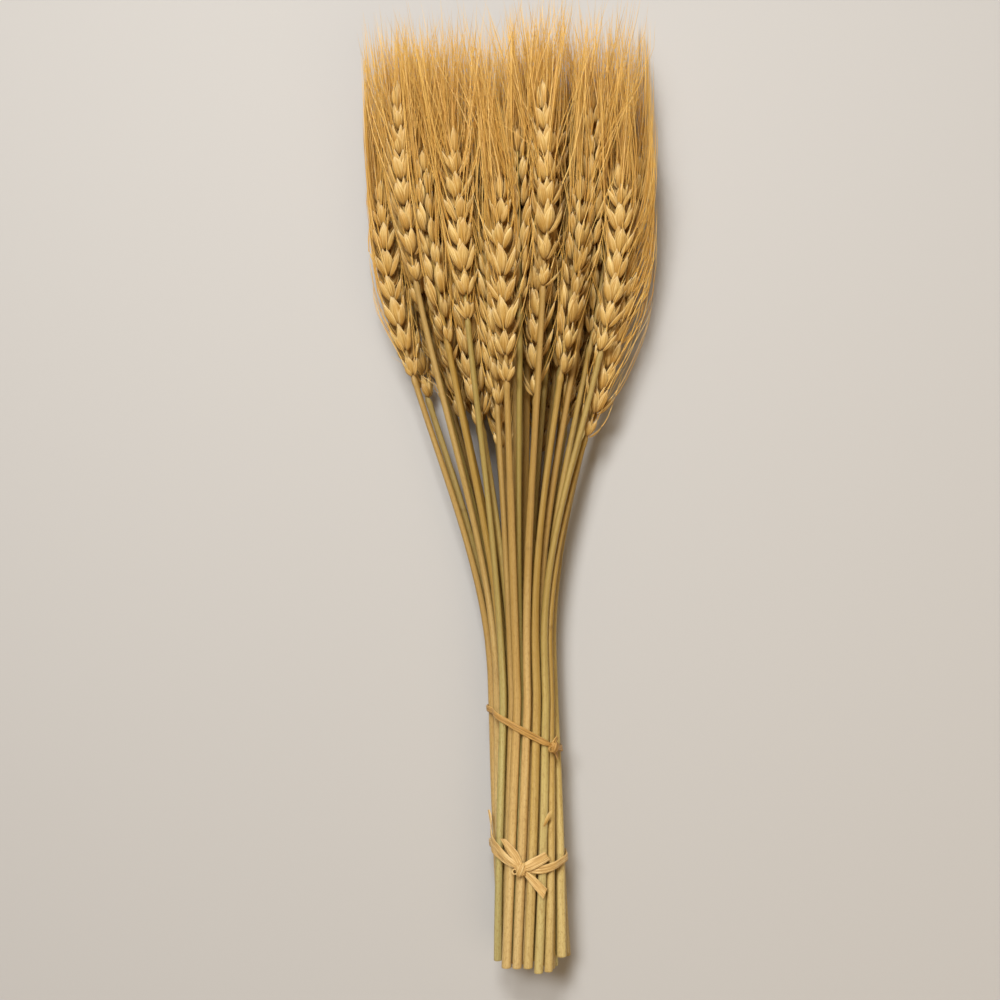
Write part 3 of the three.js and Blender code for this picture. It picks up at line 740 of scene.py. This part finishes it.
def grow(stalk, bundle, materials, has_scrap):
    """A stalk's piece. Most bracts high enough on the ear have two awns, and the others have one."""
    rng = np.random.default_rng(STALK_SEED + stalk.index)
    surface = Surface()
    grow_stem(surface, stalk, rng)
    if has_scrap:
        grow_scrap(surface, stalk, rng)
    ranks = grow_spikelets(surface, stalk, rng)
    top = grow_top(surface, stalk, rng)
    roots, ways, heights = (np.concatenate(pair) for pair in zip(ranks, top))
    second = rng.random(len(roots)) < SECOND_SHARE * (heights > SECOND_START)
    which = np.concatenate([np.arange(len(roots)), np.flatnonzero(second)])
    grow_awns(surface, stalk, bundle, roots[which], ways[which], heights[which], rng)
    piece = surface.make(f"wheat_{stalk.node}", materials, bundle.origin, STALK_FLOOR)
    add_attribute(piece.data, "tint", np.full(len(piece.data.vertices), stalk.index + 0.5))
    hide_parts(stalk.node)


def through(places, count):
    """A smooth run of values through the given places."""
    values = np.array(places, float)
    last = len(values) - 1
    at = np.linspace(0, last, count)
    before = np.minimum(at.astype(int), last - 1)
    f = (at - before)[:, None]
    a, b, c, d = (values[np.clip(before + n, 0, last)] for n in (-1, 0, 1, 2))
    return b + 0.5 * f * (c - a + f * (2 * a - 5 * b + 4 * c - d + f * (3 * (b - c) + d - a)))


def over_stems(bundle, y, angle, height):
    """Points at a height over the stems, pressed flat where they meet the floor."""
    y, angle = np.broadcast_arrays(np.asarray(y, float), angle)
    direction = stacked(np.cos(angle), 0.0, np.sin(angle))
    reach = [(axis_at(s, y) * direction).sum(axis=-1) + stem_radius_at(s, y) for s in bundle.stalks]
    radius = np.max(reach, axis=0) + height
    z = radius * np.sin(angle)
    pressed = (height > CLEARANCE) & (z < bundle.floor + FLAT_DEPTH)
    return stacked(radius * np.cos(angle), y, np.where(pressed, bundle.floor, z))


def laid_skins(bundle, y, angle, width, heading, thickness, rises):
    """A strip's two skins over the stems, each as its two edges. rises are how far these stand off."""
    skins = []
    for height, edge_rises in zip((CLEARANCE, CLEARANCE + thickness), rises):
        edges = []
        for side, rise in zip(STRIP_EDGES, edge_rises):
            at = angle - side * width * np.sin(heading) / bundle.radius
            edges.append(over_stems(bundle, y + side * width * np.cos(heading), at, height + rise))
        skins.append(np.stack(edges, axis=1))
    return skins


def strip_rings(inner, outer):
    """The rings of a strip between its two skins: over its folded outside and back along its underside."""
    side = (STRIP_ARC[None, :, None] + 1) / 2
    low = mix(inner[:, :1], inner[:, 1:], side)
    high = mix(outer[:, :1], outer[:, 1:], side)
    back = mix(inner[:, :1], inner[:, 1:], (STRIP_BACK[None, :, None] + 1) / 2)
    return np.concatenate([mix(low, high, STRIP_CREST[None, :, None]), back], axis=1)


def add_strip(surface, inner, outer, seed, closed=False, slant=0.0):
    """A strip of raffia between two skins of (slices, 2, 3), closed to a ring or cut with a slant."""
    rings = strip_rings(inner, outer)
    slices, sides = rings.shape[:2]
    length = np.cumsum(np.r_[0, np.linalg.norm(np.diff(rings.mean(axis=1), axis=0), axis=1)])
    width = np.linalg.norm(inner[:, 1] - inner[:, 0], axis=1)
    place = np.concatenate([STRIP_ARC, STRIP_BACK]) / 2 * width[:, None]
    grain = stacked(place, length[:, None], seed)
    share = np.broadcast_to((length / length[-1])[:, None], place.shape)
    edge = np.broadcast_to(np.concatenate([np.abs(STRIP_ARC), 0 * STRIP_BACK]) ** EDGE_POWER, place.shape)
    if closed:
        faces = ring_faces(slices, sides)
        surface.add(rings.reshape(1, -1, 3), grain.reshape(-1, 3), share.ravel(), faces, RAFFIA, edge.ravel())
        return
    way = unit(rings[-1].mean(axis=0) - rings[-3].mean(axis=0))
    rings[-1] += way * (place[-1] * slant)[:, None]
    points = with_ends(rings[0].mean(axis=0), rings, rings[-1].mean(axis=0))
    grain, share, edge = (with_ends(part[0, 0], part, part[-1, 0]) for part in (grain, share, edge))
    surface.add(points[None], grain, share, loft_faces(slices, sides), RAFFIA, edge)


def add_ring(surface, bundle, tie, knot, rng):
    """The turn of a tie round the stems, drawn in where it enters its knot."""
    angle = np.linspace(0, 2 * np.pi, TIE_SLICES, endpoint=False)
    y = tie["middle"] - tie["dip"] * np.maximum(0, np.sin(angle)) ** 2 - tie["slope"] * np.cos(angle)
    heading = np.arctan2(np.roll(y, -1) - np.roll(y, 1), 4 * np.pi / TIE_SLICES * bundle.radius)
    from_knot = np.degrees(np.angle(np.exp(1j * (angle - math.radians(knot["angle"])))))
    phase = rng.random() * TIE_PHASES
    high, number = WIDTH_WAVES
    width = tie["width"] * (1 - swelling(from_knot, 0, *KNOT_PINCH) + high * np.sin(number * angle + phase))
    high, number = RIPPLES
    ripples = [high * np.sin(number * angle + phase + 2 * side) for side in STRIP_EDGES]
    skins = laid_skins(bundle, y, angle, width, heading, tie["thickness"], ((0, 0), ripples))
    add_strip(surface, *skins, seed=rng.random() * RAFFIA_SEEDS, closed=True)


def add_tail(surface, bundle, places, slant, rng):
    """A tail of a tie, from its knot to its cut end, a little curled."""
    angle, y, width, lift = through(places, TAIL_SLICES).T
    angle = np.radians(angle)
    heading = np.arctan2(np.gradient(y), np.gradient(angle) * bundle.radius)
    curl = CURL * np.sin(np.linspace(0, CURL_RUN, TAIL_SLICES) + TIE_PHASES * rng.random())
    rises = [np.maximum(0, lift + 2 * side * curl) for side in STRIP_EDGES]
    skins = laid_skins(bundle, y, angle, width, heading, TAIL_THICKNESS, (rises, rises))
    add_strip(surface, *skins, seed=rng.random() * RAFFIA_SEEDS, slant=slant)


def add_band(surface, middle, axes, radii, rng, width, thickness, span, closed=False):
    """A short strip in an arc about a middle, span degrees each way. axes are its run, its side and up."""
    run, side, up = axes
    at = np.radians(np.linspace(-span, span, TAIL_SLICES))[:, None]
    skins = []
    for extra in (0, thickness):
        arc = middle + run * np.sin(at) * (radii[0] + extra) + up * np.cos(at) * (radii[1] + extra)
        narrow = width / 2 * (1 - BAND_WAIST * np.sin(np.abs(at)) ** 2)
        skins.append(np.stack([arc - side * narrow, arc + side * narrow], axis=1))
    if closed:
        skins = [skin[:-1] for skin in skins]
    add_strip(surface, *skins, seed=rng.random() * RAFFIA_SEEDS, closed=closed)


def add_lump(surface, middle, axes, knot):
    """A knot's lump of folded raffia. axes are across the bundle, along it and up."""
    angles = np.linspace(0, 2 * np.pi, LUMP_SIDES, endpoint=False)
    turn, rise = np.meshgrid(angles, np.radians(np.linspace(-LUMP_END, LUMP_END, LUMP_RINGS)))
    fold = 1 + LUMP_FOLD * np.sin(5 * turn + 3 * rise)
    places = (np.cos(turn) * np.cos(rise) * fold, np.sin(rise), np.sin(turn) * np.cos(rise) * fold)
    lump = middle
    for axis, place, name in zip(axes, places, LUMP_SHARES):
        lump = lump + axis * (place * knot[name] * LUMP_SHARES[name])[..., None]
    tip = axes[1] * knot["along"] * LUMP_TIP
    points = with_ends(middle - tip, lump, middle + tip)
    round_it, along_it, own = LUMP_GRAIN
    grain = stacked(turn * round_it, rise * along_it, own)
    grain = with_ends(grain[0, 0], grain, grain[-1, -1])
    surface.add(points[None], grain, 0.0, loft_faces(LUMP_RINGS, LUMP_SIDES), RAFFIA)


def add_knot(surface, bundle, knot, rng):
    """A knot: a lump of folded raffia, two bands that pass over it, and the eye of its loop beside it."""
    angle = math.radians(knot["angle"])
    up = np.array([math.cos(angle), 0, math.sin(angle)])
    along = np.array([0.0, 1, 0])
    across = np.cross(along, up)
    middle = over_stems(bundle, knot["y"], angle, CLEARANCE + knot["high"] + knot["lift"])
    add_lump(surface, middle, (across, along, up), knot)
    for slope, size in BANDS:
        run = unit(along + across * slope)
        radii = (knot["along"] * size * BAND_REACH, knot["high"] * size)
        axes = (run, np.cross(up, run), up)
        add_band(surface, middle, axes, radii, rng, width=2.5 * size, thickness=0.55, span=104)
    eye = middle - across * knot["across"] * EYE_OUT - along * EYE_BACK
    axes = (across, up, along)
    add_band(surface, eye, axes, (0.75, 0.85), rng, width=1.5, thickness=0.6, span=180, closed=True)


def tie_piece(name, node, bundle, tie, knot, tails, material):
    """A tie's piece: its turn round the stems, its tails and its knot."""
    rng = np.random.default_rng(len(name))
    surface = Surface()
    add_ring(surface, bundle, tie, knot, rng)
    for places, slant in zip(tails, TAIL_SLANTS):
        add_tail(surface, bundle, places, slant, rng)
    add_knot(surface, bundle, knot, rng)
    piece = surface.make(name, [material], bundle.origin, 0)
    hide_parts(node)


# Materials: a colour is as seen on a screen, from 0 to 255, and a ramp is places with their colours
STREAKS = ((0.38, (116, 80, 30)), (0.5, (184, 150, 84)), (0.62, (222, 198, 136)))
BROAD_STREAKS = ((0.4, (132, 98, 42)), (0.5, (192, 160, 90)), (0.6, (226, 204, 148)))
STRAW_TINTS = (
    (0.0, (148, 162, 96)), (0.24, (178, 178, 110)), (0.38, (216, 188, 108)),
    (0.58, (188, 154, 66)), (0.78, (234, 204, 142)), (1.0, (208, 166, 94)),
)
PALE_STRAW = (202, 186, 136)
# The tan of painted shade that darkens the stems up in the fan, under the overhanging ears
PAINTED_FAN_SHADE = (136, 100, 8)
SPOTTED_STRAW = (148, 108, 44)
JOINT_DARK_AND_HOLLOW_SHADE = (88, 54, 24)
# A bract's colour from root to tip: the dark root is partly its own warmer base and partly painted shade deep
# in the ear, and the pale tip is its own
HUSK_ROOT_SHADE_TO_PALE_TIP = (
    (0.0, (142, 90, 14)), (0.3, (192, 148, 66)), (0.7, (216, 182, 108)),
    (0.87, (238, 212, 154)), (1.0, (254, 238, 196)),
)
HUSK_VEINS = ((0.4, (134, 88, 22)), (0.5, (202, 162, 80)), (0.6, (240, 214, 150)))
HUSK_PATCHES = (176, 126, 44)
HUSK_RIM = (242, 216, 152)
ALONG_AWN = ((0.0, (196, 152, 72)), (0.3, (204, 156, 72)), (0.7, (224, 180, 94)), (1.0, (228, 188, 106)))
AWN_TINTS = ((0.38, (188, 138, 54)), (0.5, (218, 174, 84)), (0.62, (238, 204, 120)))
PALE_RAFFIA = ((0.34, (170, 128, 66)), (0.5, (218, 180, 112)), (0.66, (242, 214, 152)))
TAN_RAFFIA = ((0.34, (128, 88, 34)), (0.5, (182, 138, 68)), (0.66, (212, 172, 100)))
RAFFIA_PATCHES = (190, 146, 78)
PATTERN_RANGE = (0.3, 0.7)  # of a pattern's values, what its roughness goes over


def shown_as(colour):
    """The linear colour that shaders take for one as seen on a screen."""
    return (*Color([channel / 255 for channel in colour]).from_srgb_to_scene_linear(), 1)


class Nodes:
    """A material's node tree, with its principled shader."""

    def __init__(self, name):
        self.material = bpy.data.materials.new(name)
        self.material.use_nodes = True
        self.tree = self.material.node_tree
        self.shader = self.tree.nodes["Principled BSDF"]

    def node(self, kind, inputs, **settings):
        made = self.tree.nodes.new(kind)
        for name, value in settings.items():
            setattr(made, name, value)
        for name, value in inputs.items():
            if isinstance(value, bpy.types.NodeSocket):
                self.tree.links.new(value, made.inputs[name])
            else:
                made.inputs[name].default_value = value
        return made

    def attribute(self, name, output="Fac"):
        return self.node("ShaderNodeAttribute", {}, attribute_name=name).outputs[output]

    def noise(self, vector, stretch, detail=3.0, roughness=0.55):
        scaled = self.node("ShaderNodeVectorMath", {0: vector, 1: stretch}, operation="MULTIPLY").outputs[0]
        inputs = {"Vector": scaled, "Scale": 1.0, "Detail": detail, "Roughness": roughness}
        return self.node("ShaderNodeTexNoise", inputs).outputs["Fac"]

    def ramp(self, factor, stops):
        made = self.node("ShaderNodeValToRGB", {"Fac": factor})
        elements = made.color_ramp.elements
        while len(elements) < len(stops):
            elements.new(0.5)
        for element, (place, colour) in zip(elements, stops):
            element.position = place
            element.color = shown_as(colour)
        return made.outputs["Color"]

    def blend(self, factor, first, second):
        return self.node("ShaderNodeMix", {0: factor, 6: first, 7: second}, data_type="RGBA").outputs[2]

    def range(self, value, between, gives):
        """Turns the values between two into those between two others, and keeps to these."""
        inputs = {"From Min": between[0], "From Max": between[1], "To Min": gives[0], "To Max": gives[1]}
        return self.node("ShaderNodeMapRange", {"Value": value, **inputs}).outputs[0]

    def wash(self, under, value, between, gives, colour):
        """A colour over another, as strongly as the range makes of the value."""
        return self.blend(self.range(value, between, gives), under, shown_as(colour))

    def finish(self, colour, pattern, roughness, relief=0.0, depth=0.0):
        """Gives the shader its colour, and with the pattern its roughness and its relief."""
        sockets = {"Base Color": colour, "Roughness": self.range(pattern, PATTERN_RANGE, roughness)}
        if relief:
            inputs = {"Height": pattern, "Strength": relief, "Distance": depth}
            sockets["Normal"] = self.node("ShaderNodeBump", inputs).outputs[0]
        for name, socket in sockets.items():
            self.tree.links.new(socket, self.shader.inputs[name])
        return self.material


def straw_material():
    """Dry straw: streaked lengthwise and a little mottled, each stem greener, pinker or more golden than the
    next. It is palest at the cut ends, and up in the fan it is darkened to tan, painted shade under the
    overhanging ears."""
    nodes = Nodes("straw")
    grain = nodes.attribute("grain", "Vector")
    share = nodes.attribute("share")
    fine = nodes.noise(grain, stretch=(2.7, 0.05, 2.7), detail=5.0, roughness=0.68)
    broad = nodes.noise(grain, stretch=(0.62, 0.011, 0.62), roughness=0.6)
    mottle = nodes.noise(grain, stretch=(1.4, 0.5, 1.4), detail=4.0, roughness=0.7)
    own = nodes.node("ShaderNodeTexWhiteNoise", {"W": nodes.attribute("tint")}, noise_dimensions="1D")
    colour = nodes.blend(0.5, nodes.ramp(fine, STREAKS), nodes.ramp(broad, BROAD_STREAKS))
    colour = nodes.blend(0.54, colour, nodes.ramp(own.outputs["Value"], STRAW_TINTS))
    colour = nodes.wash(colour, share, (0.0, 0.38), (0.3, 0.0), PALE_STRAW)
    # Painted shade: the stems are darkened to tan up in the fan, where the ears overhang them
    colour = nodes.wash(colour, share, (0.3, 0.6), (0.0, 0.5), PAINTED_FAN_SHADE)
    colour = nodes.wash(colour, mottle, (0.5, 0.66), (0.0, 0.5), SPOTTED_STRAW)
    # The mark darkens the joints and the sheath's rim, and paints shade into the hollow cut ends
    colour = nodes.blend(nodes.attribute("mark"), colour, shown_as(JOINT_DARK_AND_HOLLOW_SHADE))
    return nodes.finish(colour, fine, roughness=(0.6, 0.42), relief=0.6, depth=0.0003)


def husk_material():
    """The bracts of the ear: pale straw, veined lengthwise and paler at the rim. Their darker, warmer roots
    are partly their own colour and partly painted shade deep in the ear.
    """
    nodes = Nodes("husk")
    grain = nodes.attribute("grain", "Vector")
    veins = nodes.noise(grain, stretch=(2.9, 0.06, 1.0), detail=4.0, roughness=0.62)
    patches = nodes.noise(grain, stretch=(0.2, 0.16, 1.0), detail=2.0)
    # Darker at the root, partly as painted shade where the bracts sit deep in the ear
    along = nodes.ramp(nodes.attribute("share"), HUSK_ROOT_SHADE_TO_PALE_TIP)
    colour = nodes.blend(0.5, along, nodes.ramp(veins, HUSK_VEINS))
    colour = nodes.wash(colour, patches, (0.4, 0.7), (0.0, 0.55), HUSK_PATCHES)
    colour = nodes.wash(colour, nodes.attribute("mark"), (0.5, 1.0), (0.0, 0.45), HUSK_RIM)
    return nodes.finish(colour, veins, roughness=(0.74, 0.58), relief=0.7, depth=0.0004)


def raffia_material(name, stops):
    """Raffia: flat fibres side by side, darker in the folds between them, with pale worn edges."""
    nodes = Nodes(name)
    grain = nodes.attribute("grain", "Vector")
    fibres = nodes.noise(grain, stretch=(3.2, 0.1, 1.0), detail=4.0, roughness=0.6)
    patches = nodes.noise(grain, stretch=(0.5, 0.16, 1.0), detail=2.0)
    _, palest = stops[-1]
    colour = nodes.wash(nodes.ramp(fibres, stops), patches, (0.4, 0.7), (0.0, 0.5), RAFFIA_PATCHES)
    colour = nodes.wash(colour, nodes.attribute("mark"), (0.4, 1.0), (0.0, 0.5), palest)
    return nodes.finish(colour, fibres, roughness=(0.62, 0.42), relief=0.8, depth=0.0004)


def awn_material():
    """Awns: golden, paler towards their tips, and each one lighter or darker than the next."""
    nodes = Nodes("awn")
    own = nodes.noise(nodes.attribute("grain", "Vector"), stretch=(1.0, 0.02, 1.0), detail=2.0)
    along = nodes.ramp(nodes.attribute("share"), ALONG_AWN)
    return nodes.finish(nodes.blend(0.5, along, nodes.ramp(own, AWN_TINTS)), own, roughness=(0.66, 0.52))


bundle = Bundle()
scrap_stalk = bundle.scrap_stalk()
stalk_materials = (straw_material(), husk_material(), awn_material())
for stalk in bundle.stalks:
    grow(stalk, bundle, stalk_materials, stalk is scrap_stalk)
pale_raffia = raffia_material("raffia", PALE_RAFFIA)
tan_raffia = raffia_material("tan_raffia", TAN_RAFFIA)
tie_piece("lower_raffia_tie", "lower_tie", bundle, LOWER_TIE, LOWER_KNOT, LOWER_TAILS, pale_raffia)
tie_piece("upper_raffia_tie", "upper_tie", bundle, UPPER_TIE, UPPER_KNOT, UPPER_TAILS, tan_raffia)

# Floor, light and camera, in metres
FLOOR_HALF = 30.0
FLOOR_COLOUR = (0.5, 0.5, 0.5, 1)
FLOOR_ROUGHNESS = 0.7
WORLD_COLOUR = (1.0, 0.64, 0.33, 1)
WORLD_STRENGTH = 0.2
LENS, SENSOR = 70, 36
FRAME_WIDTH = 0.45
LOOKS_AT = Vector((-0.009, -0.0069, 0.02))
LEAN = math.radians(1.9)


def make_floor():
    mesh = bpy.data.meshes.new("floor")
    corners = [(x * FLOOR_HALF, y * FLOOR_HALF, 0) for x, y in ((-1, -1), (1, -1), (1, 1), (-1, 1))]
    mesh.from_pydata(corners, [], [(0, 1, 2, 3)])
    nodes = Nodes("floor")
    nodes.shader.inputs["Base Color"].default_value = FLOOR_COLOUR
    nodes.shader.inputs["Roughness"].default_value = FLOOR_ROUGHNESS
    mesh.materials.append(nodes.material)
    return add_object("floor", mesh)


def add_light(name, kind, place, **settings):
    """A light at a place, pointed at the middle of the floor."""
    data = bpy.data.lights.new(name, kind)
    for setting, value in settings.items():
        setattr(data, setting, value)
    light = add_object(name, data)
    light.location = place
    light.rotation_euler = (-Vector(place)).to_track_quat("-Z", "Y").to_euler()


def add_camera():
    """The camera, straight over the bundle and turned by its lean in the photo."""
    data = bpy.data.cameras.new("camera")
    data.lens = LENS
    data.sensor_width = SENSOR
    camera = add_object("camera", data)
    camera.location = LOOKS_AT + Vector((0, 0, FRAME_WIDTH * LENS / SENSOR))
    camera.rotation_euler = (0, 0, -LEAN)
    bpy.context.scene.camera = camera


floor = make_floor()
add_light("distant", "SUN", (-0.3, 0.42, 1.1), energy=1.7, color=(0.95, 0.95, 0.93), angle=math.radians(15))
add_light("key", "AREA", (-0.1, 0.46, 0.87), energy=6.0, color=(0.97, 0.96, 0.93), size=0.26)
add_light("fill", "AREA", (0.4, -0.44, 0.95), energy=2.3, color=(1.0, 0.82, 0.58), size=0.8)
world = bpy.data.worlds.new("studio")
world.use_nodes = True
world.node_tree.nodes["Background"].inputs["Color"].default_value = WORLD_COLOUR
world.node_tree.nodes["Background"].inputs["Strength"].default_value = WORLD_STRENGTH
bpy.context.scene.world = world
add_camera()
bpy.context.scene.view_settings.view_transform = "Standard"
